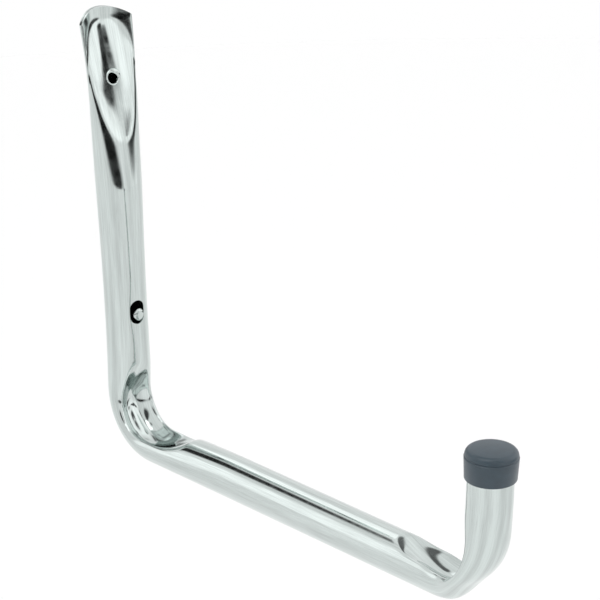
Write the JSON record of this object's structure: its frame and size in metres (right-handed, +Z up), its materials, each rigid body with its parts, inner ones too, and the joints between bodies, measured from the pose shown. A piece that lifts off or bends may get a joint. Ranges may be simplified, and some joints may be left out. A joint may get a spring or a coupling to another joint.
{
  "type": "garage utility hook",
  "caption": "Bent round-tube wall hook with a long level arm, an upturned tip in a rubber end cap and a flattened, dished upper end for wall screws.",
  "frame": {"origin": "on the wall plane, midway between the two screw holes", "axes": "+Z up, -Y out from the wall along the arm, +X to the right seen from the front"},
  "size_m": [0.0314, 0.3142, 0.2366],
  "materials": {
    "zinc_tube": "bright zinc plating on drawn steel tube, satin",
    "rubber_cap": "smooth satin slate-grey rubber"
  },
  "bodies": {
    "root": {"hook_tube": "zinc_tube", "end_cap": "rubber_cap"}
  },
  "joints": []
}
